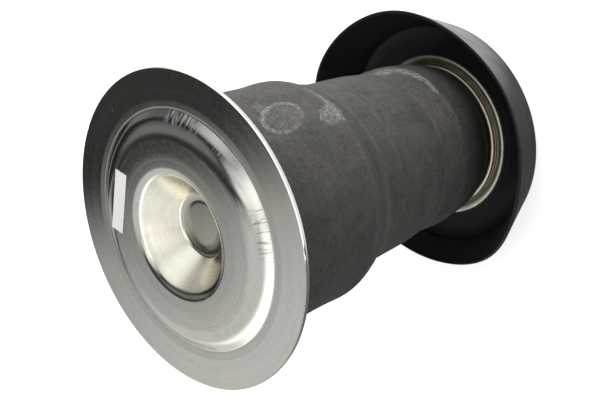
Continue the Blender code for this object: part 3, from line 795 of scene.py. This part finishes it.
class Bench:
    """Runs Blender's modelling operators on one piece at a time."""

    SEED = 0.5 * MM
    MERGE = 0.001 * MM

    @staticmethod
    def clear() -> None:
        """Select nothing."""
        bpy.ops.object.select_all(action="DESELECT")

    @classmethod
    def focus(cls, piece: Any) -> None:
        """Select one piece and make it active."""
        cls.clear()
        piece.select_set(True)
        bpy.context.view_layer.objects.active = piece

    @classmethod
    def outline(cls, name: str, points: Sequence[Spot], closed: bool) -> Any:
        """Draw a run of edges by pulling one point along.

        Args:
            name: The piece's name.
            points: Each point's radius and height.
            closed: Whether the run ends where it starts.

        Returns:
            The piece, in edit mode.
        """
        cls.clear()
        first = points[0]
        bpy.ops.mesh.primitive_circle_add(vertices=3, radius=cls.SEED,
                                          location=(first[0], 0, first[1]))
        piece = bpy.context.object
        piece.name = name
        piece.data.name = name
        bpy.ops.object.mode_set(mode="EDIT")
        bpy.ops.mesh.select_all(action="SELECT")
        bpy.ops.mesh.merge(type="CENTER")
        here = first
        run = list(points[1:]) + ([first] if closed else [])
        for spot in run:
            pull = {"value": (spot[0] - here[0], 0, spot[1] - here[1])}
            bpy.ops.mesh.extrude_vertices_move(TRANSFORM_OT_translate=pull)
            here = spot
        return piece

    @classmethod
    def turn(cls, name: str, points: Sequence[Spot], steps: int, closed: bool = False,
             centre: Spot = (0.0, 0.0)) -> Any:
        """Turn an outline round an upright axis.

        Args:
            name: The piece's name.
            points: The outline, as radius and height.
            steps: The number of facets round it.
            closed: Whether the outline ends where it starts.
            centre: Where the axis stands.

        Returns:
            The turned piece, with smooth shading and its place in its mesh.
        """
        piece = cls.outline(name, points, closed)
        bpy.ops.mesh.select_all(action="SELECT")
        bpy.ops.mesh.spin(steps=steps, angle=FULL_TURN, center=(0, 0, 0), axis=(0, 0, 1))
        bpy.ops.mesh.select_all(action="SELECT")
        bpy.ops.mesh.remove_doubles(threshold=cls.MERGE)
        bpy.ops.mesh.normals_make_consistent(inside=False)
        bpy.ops.object.mode_set(mode="OBJECT")
        if centre != (0.0, 0.0):
            piece.location = piece.location + Vector((*centre, 0))
        cls.settle(piece)
        return piece

    @classmethod
    def settle(cls, piece: Any, angle: float = 32.0) -> None:
        """Put a piece's place in its mesh, and shade it by its edges.

        Args:
            piece: The piece.
            angle: Edges sharper than this, in degrees, stay crisp.
        """
        cls.focus(piece)
        bpy.ops.object.transform_apply(location=True, rotation=True, scale=True)
        bpy.ops.object.shade_smooth_by_angle(angle=math.radians(angle))

    @classmethod
    def face_up(cls, piece: Any) -> None:
        """Turn an open sheet's faces so that most of them look up."""
        total = sum(face.normal.z * face.area for face in piece.data.polygons)
        if total < 0:
            cls.focus(piece)
            bpy.ops.object.mode_set(mode="EDIT")
            bpy.ops.mesh.select_all(action="SELECT")
            bpy.ops.mesh.flip_normals()
            bpy.ops.object.mode_set(mode="OBJECT")

    @classmethod
    def finish(cls, piece: Any, kind: str, **settings: Any) -> None:
        """Add a modifier and apply it.

        Args:
            piece: The piece.
            kind: The modifier's type.
            settings: The modifier's settings.
        """
        cls.focus(piece)
        bpy.ops.object.modifier_add(type=kind)
        modifier = piece.modifiers[-1]
        for key, value in settings.items():
            setattr(modifier, key, value)
        bpy.ops.object.modifier_apply(modifier=modifier.name)

    @classmethod
    def copy(cls, piece: Any, name: str, shift: Tuple[float, float, float],
             turn: float = 0.0) -> Any:
        """Copy a piece with a mesh of its own.

        Args:
            piece: The piece to copy.
            name: The copy's name.
            shift: How far it moves.
            turn: How far it turns round its own upright axis first.

        Returns:
            The copy.
        """
        cls.focus(piece)
        bpy.ops.object.duplicate(linked=False)
        twin = bpy.context.object
        twin.name = name
        twin.data.name = name
        twin.rotation_euler.z = turn
        twin.location = shift
        bpy.ops.object.transform_apply(location=True, rotation=True, scale=True)
        return twin

    @classmethod
    def remove(cls, piece: Any) -> None:
        """Delete a helper."""
        bpy.data.objects.remove(piece, do_unlink=True)


def hand_over(piece: Any, body: Optional[Body], slot: Slot, material: Any, *nodes: str) -> Any:
    """Give a piece its body, its finish and the CAD nodes that it stands for.

    Args:
        piece: The piece.
        body: The body that it rides on, or None for a piece between the bodies that rides on neither.
        slot: The record's material slot. It is not used.
        material: Its material.
        nodes: The CAD nodes that it replaces.

    Returns:
        The piece.
    """
    piece.data.materials.clear()
    piece.data.materials.append(material)
    if body is not None:
        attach(piece, body.value)
    if nodes:
        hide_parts(*nodes)
    LOG.info("%s: %d faces", piece.name, len(piece.data.polygons))
    return piece


def repaint(material: Any, slot: Slot, *nodes: str) -> None:
    """Give CAD nodes a finish.

    Args:
        material: The material.
        slot: The record's material slot. It is not used.
        nodes: The CAD nodes.
    """
    for name in nodes:
        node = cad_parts[name]
        for holder in node.material_slots:
            holder.material = material
        LOG.info("%s: repainted", name)


# ---------------------------------------------------------------- sub-assemblies


@dataclass
class Head:
    """The pressed head plate, its retaining ring and the paper strip."""

    finishes: Finishes
    rim: float = 150.0
    flange_face: float = 368.0
    flange_level: float = 369.3
    top: float = 379.0
    plateau: float = 99.6
    plateau_ring: float = 74.5
    plateau_dip: float = 0.36
    shoulder: float = 113.7
    shoulder_round: float = 31.0
    mouth: float = 57.5
    mouth_round: float = 12.0
    cup_floor: float = 347.0
    sheet: float = 2.8
    ring_radius: float = 149.2
    ring_bore: float = 104.0
    ring_sheet: float = 2.1
    ring_top: float = 364.9
    ring_pocket: float = 10.0
    ring_lip: float = 3.5
    facets: int = 240
    strip_long: float = 62.0
    strip_wide: float = 15.5
    strip_radius: float = 81.0
    strip_angle: float = 190.0
    strip_turn: float = 97.0

    def build(self) -> None:
        """Build and dress the head's pieces."""
        self.plate()
        self.ring()
        self.strip()
        repaint(self.finishes.core, Slot.CORE, "upper_bead_core")

    def _drawn(self, outline: Sequence[Spot]) -> List[Spot]:
        """Split the flats of an outline, and add the faint waves and rings left by the press.

        Args:
            outline: The outline, as radius and height.

        Returns:
            The finer outline.
        """
        grooves = ((23.6, 2.6, 0.12), (69.0, 1.5, 0.010), (74.5, 1.2, 0.016), (85.5, 2.6, 0.022),
                   (90.5, 1.2, 0.012), (96.5, 1.6, 0.014), (128.0, 7.0, 0.035),
                   (141.0, 5.0, 0.030))
        finer: List[Spot] = [outline[0]]
        for spot in outline[1:]:
            last = finer[-1]
            reach = math.dist(last, spot)
            pieces = max(1, round(reach / ((1.0 if spot[0] < 29 * MM else 1.35) * MM)))
            for part in range(1, pieces + 1):
                share = part / pieces
                radius = last[0] + (spot[0] - last[0]) * share
                height = last[1] + (spot[1] - last[1]) * share
                finer.append((radius, height))
        drawn = []
        for radius, height in finer:
            dip = 0.0
            if height > (self.flange_face - 1) * MM or radius < 29 * MM:
                for centre, width, depth in grooves:
                    away = abs(radius / MM - centre) / width
                    if away < 1:
                        dip += depth * (1 - away * away) ** 2
            drawn.append((radius, height - dip * MM))
        return drawn

    def plate(self) -> None:
        """Turn the head plate from its upper face and give it its sheet."""
        outline = filleted([
            (0, self.cup_floor, 0),
            (29.2, self.cup_floor, 7),
            (self.mouth, self.top - self.plateau_dip, self.mouth_round),
            (self.plateau_ring, self.top, 25),
            (self.plateau, self.top, self.shoulder_round),
            (self.shoulder, self.flange_level - 0.42, 3),
            (self.shoulder + 8, self.flange_level - 0.08, 40),
            (self.rim, self.flange_level, 0),
        ], steps=14)
        piece = Bench.turn("head_plate_pressed", self._drawn(outline), self.facets)
        Bench.face_up(piece)
        Bench.finish(piece, "SOLIDIFY", thickness=self.sheet * MM, offset=-1.0,
                     use_even_offset=True)
        Bench.finish(piece, "BEVEL", width=0.45 * MM, segments=3, limit_method="ANGLE",
                     angle_limit=math.radians(60))
        self._nick(piece)
        Bench.settle(piece)
        hand_over(piece, Body.HEAD, Slot.PLATE, self.finishes.plate, "head_plate")

    def _nick(self, piece: Any) -> None:
        """Dent the plate's edge a little, as knocks in handling do.

        Args:
            piece: The head plate.
        """
        knocks = ((math.radians(27), 1.1, 0.5), (math.radians(-64), 0.8, 0.3),
                  (math.radians(171), 0.9, 0.35))
        for vertex in piece.data.vertices:
            spot = vertex.co
            radius = math.hypot(spot.x, spot.y)
            if radius < (self.rim - 1.5) * MM:
                continue
            angle = math.atan2(spot.y, spot.x)
            for centre, wide, deep in knocks:
                away = abs(angle - centre) / math.radians(wide)
                if away < 1:
                    share = 1 - deep * MM * (1 - away * away) / radius
                    spot.x *= share
                    spot.y *= share

    def ring(self) -> None:
        """Turn the retaining ring behind the flange, with its rolled lip."""
        back = self.ring_top - self.ring_sheet
        rise = self.flange_level - self.flange_face - 0.2
        floor = self.ring_top - self.ring_pocket
        lip = floor - self.ring_sheet - self.ring_lip
        hold = self.ring_bore + self.ring_sheet
        wall = self.shoulder + self.ring_sheet
        outline = filleted([
            (self.ring_bore, floor - 2, 0),
            (self.ring_bore, floor, 0.4),
            (self.shoulder, floor, 0.8),
            (self.shoulder, self.ring_top, 1.2),
            (self.ring_radius, self.ring_top + rise, 0.4),
            (self.ring_radius, self.ring_top + rise - self.ring_sheet, 0.5),
            (wall, back, 2.5),
            (wall, floor - self.ring_sheet, 2.2),
            (hold, floor - self.ring_sheet, 1.0),
            (hold, lip, 0.8),
            (self.ring_bore, lip, 0.8),
            (self.ring_bore, floor - 1, 0),
        ], steps=5)
        piece = Bench.turn("retaining_ring_rolled", outline, self.facets, closed=True)
        hand_over(piece, Body.HEAD, Slot.RING, self.finishes.ring, "retaining_ring")

    def strip(self) -> None:
        """Lay the blank paper strip on the plateau, with its ends a hair proud."""
        Bench.clear()
        angle = math.radians(self.strip_angle)
        spot = (self.strip_radius * MM * math.cos(angle), self.strip_radius * MM * math.sin(angle),
                (self.top + 0.33) * MM)
        bpy.ops.mesh.primitive_plane_add(size=1, location=spot,
                                         rotation=(0, 0, math.radians(self.strip_turn)))
        piece = bpy.context.object
        piece.name = "paper_strip"
        piece.scale = (self.strip_long * MM, self.strip_wide * MM, 1)
        bpy.ops.object.mode_set(mode="EDIT")
        bpy.ops.mesh.select_all(action="SELECT")
        bpy.ops.mesh.subdivide(number_cuts=23)
        bpy.ops.object.mode_set(mode="OBJECT")
        for vertex in piece.data.vertices:
            end = abs(vertex.co.x) * 2
            side = abs(vertex.co.y) * 2
            curl = 0.10 * max(0.0, end - 0.86) / 0.14 * (0.4 + 0.6 * side)
            ripple = 0.015 * math.sin(vertex.co.x * 31) * math.cos(vertex.co.y * 5)
            vertex.co.z = (curl + ripple) * MM
        Bench.focus(piece)
        bpy.ops.object.transform_apply(location=True, rotation=True, scale=True)
        Bench.finish(piece, "SOLIDIFY", thickness=0.12 * MM, offset=0.0)
        Bench.settle(piece)
        hand_over(piece, Body.HEAD, Slot.PAPER, self.finishes.paper, "label_strip")


@dataclass
class Sleeve:
    """The rubber sleeve between the two ends."""

    finishes: Finishes
    wall: float = 4.6
    facets: int = 224
    neck: float = 103.7
    lower_neck: float = 74.1
    sag: float = 1.4
    sag_side: float = math.radians(123)

    def build(self) -> None:
        """Build, dress and hang the sleeve."""
        knots = (
            (362.0, 103.7), (349.5, 103.7), (345.0, 105.0), (338.0, 107.4), (328.0, 109.6),
            (314.0, 110.8), (290.0, 111.3), (268.0, 110.4), (252.0, 110.0), (242.0, 110.2),
            (235.0, 109.8), (228.0, 108.3), (220.0, 105.2), (212.0, 101.7), (204.0, 98.7),
            (196.0, 96.4), (188.0, 94.6), (180.0, 93.3), (170.0, 92.7), (158.0, 92.0),
            (146.0, 91.2), (130.0, 90.0), (114.0, 87.9), (98.0, 86.0),
            (84.0, 86.9), (70.0, 86.9), (56.0, 85.2), (42.0, 83.4), (31.0, 80.9),
            (23.5, 76.8), (19.5, 74.1), (12.5, 74.1),
        )
        outline = eased(knots, 6)
        piece = Bench.turn("sleeve_moulded", outline, self.facets)
        self._face_out(piece)
        self._soften(piece)
        Bench.finish(piece, "SOLIDIFY", thickness=self.wall * MM, offset=-1.0)
        Bench.settle(piece, angle=50)
        hand_over(piece, None, Slot.SLEEVE, self.finishes.sleeve, "bellows_sleeve")
        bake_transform(piece)

    @staticmethod
    def _face_out(piece: Any) -> None:
        """Turn the sleeve's faces outwards."""
        total = sum(face.normal.x * face.center.x + face.normal.y * face.center.y
                    for face in piece.data.polygons)
        if total < 0:
            Bench.focus(piece)
            bpy.ops.object.mode_set(mode="EDIT")
            bpy.ops.mesh.select_all(action="SELECT")
            bpy.ops.mesh.flip_normals()
            bpy.ops.object.mode_set(mode="OBJECT")

    def _soften(self, piece: Any) -> None:
        """Make the sleeve a little uneven, as soft rubber without air is.

        Args:
            piece: The sleeve's outer face.
        """
        group = piece.vertex_groups.new(name="free")
        for vertex in piece.data.vertices:
            height = vertex.co.z / MM
            upper = min(1.0, max(0.0, (352 - height) / 30))
            lower = min(1.0, max(0.0, (height - 26) / 30))
            group.add([vertex.index], upper * lower, "REPLACE")
        for name, scale, depth in (("dents", 75, 1.5), ("ripples", 24, 0.35)):
            texture = bpy.data.textures.new(name, "CLOUDS")
            texture.noise_scale = scale * MM
            texture.noise_depth = 1
            Bench.finish(piece, "DISPLACE", texture=texture, strength=depth * MM,
                         mid_level=0.5, vertex_group="free", texture_coords="LOCAL")
        piece.vertex_groups.clear()
        for vertex in piece.data.vertices:
            height = vertex.co.z / MM
            share = min(1.0, max(0.0, (344 - height) / 35)) * min(1.0, max(0.0, (height - 196) / 18))
            vertex.co.x -= self.sag * math.cos(self.sag_side) * share * MM
            vertex.co.y -= self.sag * math.sin(self.sag_side) * share * MM


@dataclass
class Foot:
    """The moulded foot cup, the bead plate and the clamp ring."""

    finishes: Finishes
    base: float = 121.5
    rim: float = 143.0
    floor: float = 5.0
    wall: float = 4.5
    rim_wall: float = 3.5
    recess: float = 58.06
    hub: float = 62.56
    hub_height: float = 19.0
    recess_roof: float = 14.0
    channel: float = 79.06
    channel_back: float = 5.3
    channel_top: float = 16.5
    lip: float = 74.46
    sheet: float = 2.5
    clamp: float = 88.1
    facets: int = 240

    def build(self) -> None:
        """Build and dress the foot's pieces."""
        self.cup()
        self.bead()
        self.ring()
        repaint(self.finishes.core, Slot.CORE, "lower_bead_core")

    @staticmethod
    def rim_height(angle: float) -> float:
        """Return the rim's height in millimetres.

        Args:
            angle: The angle from the +Y side, where the rim is high.

        Returns:
            The height.
        """
        wave = 20 * math.cos(angle) - 8 * math.cos(2 * angle)
        return 46 + wave + 3.3 * math.cos(4 * angle)

    def _wall_rows(self) -> Tuple[List[Spot], List[float]]:
        """Return the cup's outline at its lowest rim, and how far each point rides the wave."""
        low = self.rim_height(math.pi)
        outline: List[Spot] = []
        shares: List[float] = []

        def put(radius: float, height: float, share: float) -> None:
            """Add a point with its share of the wave."""
            outline.append((radius * MM, height * MM))
            shares.append(share)

        for radius, height in ((0, self.recess_roof), (20, self.recess_roof),
                               (self.recess - 1.5, self.recess_roof),
                               (self.recess - 0.4, self.recess_roof - 0.4),
                               (self.recess, self.recess_roof - 1.5), (self.recess, 1.0),
                               (self.recess + 0.3, 0.3), (self.recess + 1.0, 0.0),
                               (88, 0.0), (105, 0.0), (self.base - 2.2, 0.0),
                               (self.base - 1.1, 0.2), (self.base - 0.4, 0.9)):
            put(radius, height, 0.0)
        rows = 22
        for row in range(rows + 1):
            share = row / rows
            radius = self.base + (self.rim - self.base) * share
            put(radius, 1.8 + (low - 1.6 - 1.8) * share, share)
        bead = self.rim_wall / 2
        middle = self.rim - bead
        for step in range(1, 10):
            angle = math.pi * step / 10
            put(middle + bead * math.cos(angle), low - 1.6 + 1.6 * math.sin(angle), 1.0)
        inner_base = self.base - self.wall
        for row in range(rows + 1):
            share = 1 - row / rows
            radius = inner_base + 1.5 + (self.rim - self.rim_wall - inner_base - 1.5) * share
            put(radius, self.floor + 5 + (low - 1.6 - self.floor - 5) * share, share)
        for step in range(1, 7):
            angle = math.pi / 2 * step / 6
            put(inner_base + 1.5 - 14 + 14 * math.cos(angle),
                self.floor + 5 - 5 * math.sin(angle), 0.0)
        for radius, height in ((96, self.floor), (91, self.floor), (self.hub, self.floor),
                               (self.hub, self.hub_height - 0.5),
                               (self.hub - 0.5, self.hub_height), (0, self.hub_height)):
            put(radius, height, 0.0)
        return outline, shares

    def cup(self) -> None:
        """Turn the foot cup with a level rim, then pull its wall up along the wave."""
        outline, shares = self._wall_rows()
        piece = Bench.turn("foot_cup_moulded", outline, self.facets)
        low, high = self.rim_height(math.pi), self.rim_height(0) + 1
        rows = KDTree(len(outline))
        for index, (radius, height) in enumerate(outline):
            rows.insert((radius, 0, height), index)
        rows.balance()
        group = piece.vertex_groups.new(name="wave")
        for vertex in piece.data.vertices:
            spot = vertex.co
            share = shares[rows.find((math.hypot(spot.x, spot.y), 0, spot.z))[1]]
            if share > 0:
                angle = math.atan2(spot.y, spot.x) - math.pi / 2
                lift = (self.rim_height(angle) - low) / (high - low)
                group.add([vertex.index], share * lift, "REPLACE")
        Bench.finish(piece, "DISPLACE", direction="Z", strength=(high - low) * MM,
                     mid_level=0.0, vertex_group="wave")
        piece.vertex_groups.clear()
        Bench.settle(piece)
        hand_over(piece, Body.FOOT, Slot.MOULDING, self.finishes.moulding, "foot_cup")

    def bead(self) -> None:
        """Turn the bead plate, with the channel crimped round the sleeve."""
        roll = self.channel_top - self.sheet
        inside = self.channel - self.sheet
        floor = self.channel_back + self.sheet
        outline = filleted([
            (0, 21.8, 0), (65.36, 21.8, 2.9), (65.36, floor, 0.8), (inside, floor, 1.2),
            (inside, roll, 1.0), (self.lip + 1.4, roll, 0.9), (self.lip, roll + 0.9, 0.6),
            (self.lip, self.channel_top - 0.7, 0.5), (self.lip + 0.9, self.channel_top, 0.6),
            (self.channel, self.channel_top, 4.4), (self.channel, 11.4, 0.9),
            (self.channel - 0.7, 10.7, 0.5), (self.channel, 10.0, 0.9),
            (self.channel, self.channel_back, 2.2), (self.hub + 0.3, self.channel_back, 0),
            (self.hub + 0.3, 19.3, 0.8), (0, 19.3, 0),
        ], steps=5)
        piece = Bench.turn("bead_plate_crimped", outline, self.facets)
        hand_over(piece, Body.FOOT, Slot.BEAD, self.finishes.bead, "bead_plate")

    def ring(self) -> None:
        """Turn the pale clamp ring round the channel."""
        bore = self.channel + 0.3
        top = self.channel_back + 6.5
        outline = filleted([
            (bore, 7.0, 0), (bore, top - 0.6, 0.9), (bore + 3.4, top, 6), (self.clamp, top, 3.6),
            (self.clamp, self.channel_back, 0.8), (bore, self.channel_back, 0.5), (bore, 6.6, 0),
        ], steps=7)
        piece = Bench.turn("clamp_ring_rolled", outline, self.facets, closed=True)
        hand_over(piece, Body.FOOT, Slot.RING, self.finishes.clamp, "clamp_ring")


# ----------------------------------------------------------------------- studio


@dataclass
class Studio:
    """The floor, the room's light and the camera."""

    eye: Tuple[float, float, float] = (0.6408, 0.6893, 1.0584)
    ahead: Tuple[float, float, float] = (-0.5041, -0.5550, -0.6617)
    right: Tuple[float, float, float] = (0.6871, 0.2065, -0.6966)
    above: Tuple[float, float, float] = (-0.5233, 0.8058, -0.2772)
    lens: float = 78.0
    sensor: float = 36.0

    def build(self) -> None:
        """Set up the whole studio."""
        self.camera()
        self.floor()
        self.room()
        self.lamp("key", (-0.40, 0.80, 0.45), 2.0, (1.0, 1.0), 26)
        self.lamp("front", (-0.05, 0.25, 0.967), 2.0, (1.9, 1.2), 18)

    def camera(self) -> None:
        """Set the camera where the photograph was taken from."""
        data = bpy.data.cameras.new("camera")
        data.lens = self.lens
        data.sensor_width = self.sensor
        data.clip_end = 50
        item = bpy.data.objects.new("camera", data)
        bpy.context.scene.collection.objects.link(item)
        turn = Matrix((self.right, self.above, tuple(-a for a in self.ahead))).transposed()
        item.matrix_world = Matrix.Translation(self.eye) @ turn.to_4x4()
        bpy.context.scene.camera = item

    def lamp(self, name: str, toward: Tuple[float, float, float], away: float, sides: Spot,
             power: float) -> None:
        """Add a soft oblong lamp that faces the unit. The room holds its mirror image.

        Args:
            name: The lamp's name.
            toward: The direction from the unit to the lamp.
            away: Its distance.
            sides: Its length, which lies near the X axis, and its width.
            power: Its power.
        """
        data = bpy.data.lights.new(name, "AREA")
        data.shape = "RECTANGLE"
        data.size, data.size_y = sides
        data.energy = power
        item = bpy.data.objects.new(name, data)
        bpy.context.scene.collection.objects.link(item)
        back = Vector(toward).normalized()
        side = (Vector((1, 0, 0)) - back * back.x).normalized()
        turn = Matrix((side, back.cross(side), back)).transposed().to_4x4()
        item.matrix_world = Matrix.Translation(Vector((0, 0, 0.2)) + back * away) @ turn
        item.visible_glossy = False

    def floor(self) -> None:
        """Lay the pale floor, which keeps the unit's shadow."""
        Bench.clear()
        bpy.ops.mesh.primitive_plane_add(size=30, location=(0, 0, -0.0004))
        piece = bpy.context.object
        piece.name = "floor"
        material = bpy.data.materials.new("pale floor")
        material.use_nodes = True
        tree = material.node_tree
        tree.nodes.remove(tree.nodes["Principled BSDF"])
        graph = Graph(tree)
        path = tree.nodes.new("ShaderNodeLightPath")
        camera = (Wire(graph, path.outputs["Is Camera Ray"])
                  + Wire(graph, path.outputs["Is Transmission Ray"])).held()
        glossy = Wire(graph, path.outputs["Is Glossy Ray"])
        x, y, z = graph.parts(graph.place())
        matte = graph.add("ShaderNodeBsdfDiffuse", None, {"Color": (0.75, 0.75, 0.75)})
        white = graph.add("ShaderNodeEmission", None, {"Color": (1, 1, 1), "Strength": camera * 0.82})
        lit = graph.add("ShaderNodeAddShader", None, {0: matte, 1: white})
        # Painted reflection: to glossy rays the floor glows, brighter towards +Y beside the foot cup, up
        # to 2.6, so that the cup's outer wall shows a highlight.
        reflected_glow = 0.30 + y.step(0.05, 0.11) * 0.32 + y.step(0.105, 0.14) * 2.0
        mirrored = graph.add("ShaderNodeEmission", None, {"Color": (1, 1, 1), "Strength": reflected_glow})
        total = graph.add("ShaderNodeMixShader", None, {0: glossy, 1: lit, 2: mirrored})
        graph.feed(tree.nodes["Material Output"].inputs["Surface"], total)
        piece.data.materials.append(material)

    def room(self) -> None:
        """Make the room: white to the camera, and in the metal pale with one dark side."""
        world = bpy.data.worlds.new("room")
        bpy.context.scene.world = world
        world.use_nodes = True
        tree = world.node_tree
        graph = Graph(tree)
        path = tree.nodes.new("ShaderNodeLightPath")
        camera = (Wire(graph, path.outputs["Is Camera Ray"])
                  + Wire(graph, path.outputs["Is Transmission Ray"])).held()
        glossy = Wire(graph, path.outputs["Is Glossy Ray"])
        heading = graph.parts(graph.add("ShaderNodeTexCoord", out="Generated"))
        fall = self.along(heading, tuple(-a for a in self.above))
        across = self.along(heading, self.right)
        lean = fall + across.step(-0.93, -0.89) * 0.035
        depth = fall + across.step(-0.70, -0.76) * 0.25
        side = across + fall.step(-0.15, -0.40) * 0.20
        side = side + fall.step(0.08, 0.16) * fall.step(0.275, 0.24) * 0.26
        dark = side.step(-0.52, -0.70) * lean.step(0.385, 0.295) * depth.step(-0.60, -0.40)
        pale = 0.45 + across.step(-0.6, 0.0) * 0.38 + fall.step(0.33, 0.46) * 0.25
        shade = 0.022 + across.step(-0.921, -0.941) * 0.016
        shade = shade + fall.step(0.22, 0.02) * fall.step(-0.42, -0.08) * across.step(-0.86, -0.95) * 0.17
        shade = shade + fall.step(-0.35, -0.55) * 0.16
        arc = self.along(heading, (0.263, 0.291, -0.919)) + 0.625
        reach = self.along(heading, (0.592, -0.80, -0.084))
        strip = arc.size().step(0.19, 0.03) * reach.step(-0.60, -0.25) * across.step(-0.62, -0.40)
        front = self.along(heading, (-0.03, 0.18, 0.983)).step(0.93, 1.0)
        key = self.along(heading, (-0.42, 0.74, 0.52)).step(0.82, 1.0)
        reflected = pale * (1 - dark) + shade * dark + strip * 0.95 + front * 0.8 + key * 0.5
        ambient = 0.16 + fall.step(0.4, -0.7) * 0.34
        level = camera + (1 - camera) * (glossy * reflected + (1 - glossy) * ambient)
        sky = tree.nodes["Background"]
        graph.feed(sky.inputs["Color"], (1, 1, 1))
        graph.feed(sky.inputs["Strength"], level)

    @staticmethod
    def along(heading: Tuple[Wire, Wire, Wire], way: Tuple[float, float, float]) -> Wire:
        """Return how far a heading goes along a way."""
        return heading[0] * way[0] + heading[1] * way[1] + heading[2] * way[2]


@dataclass
class View:
    """How the picture is shown."""

    transform: str = "Standard"

    def build(self) -> None:
        """Set the view transform."""
        bpy.context.scene.view_settings.view_transform = self.transform


def main() -> None:
    """Build the unit and its studio."""
    logging.basicConfig(level=logging.INFO, format="%(name)s: %(message)s")
    View().build()
    finishes = Finishes()
    for assembly in (Head(finishes), Sleeve(finishes), Foot(finishes), Studio()):
        assembly.build()
    repaint(finishes.fastener, Slot.FASTENER,
            *(f"{kind}_{k}" for kind in ("foot_stud", "stud_washer", "stud_nut")
              for k in (1, 2, 3)), "bump_stop_plate", "bump_bolt", "bump_bolt_washer")
    repaint(finishes.brass, Slot.BRASS, "port_fitting", "port_nut")
    repaint(finishes.seal, Slot.SEAL, "port_seal")
    repaint(finishes.plug, Slot.PLUG, "port_plug")
    repaint(finishes.bump, Slot.BUMP, "bump_stop")


if __name__ == "__main__":
    main()
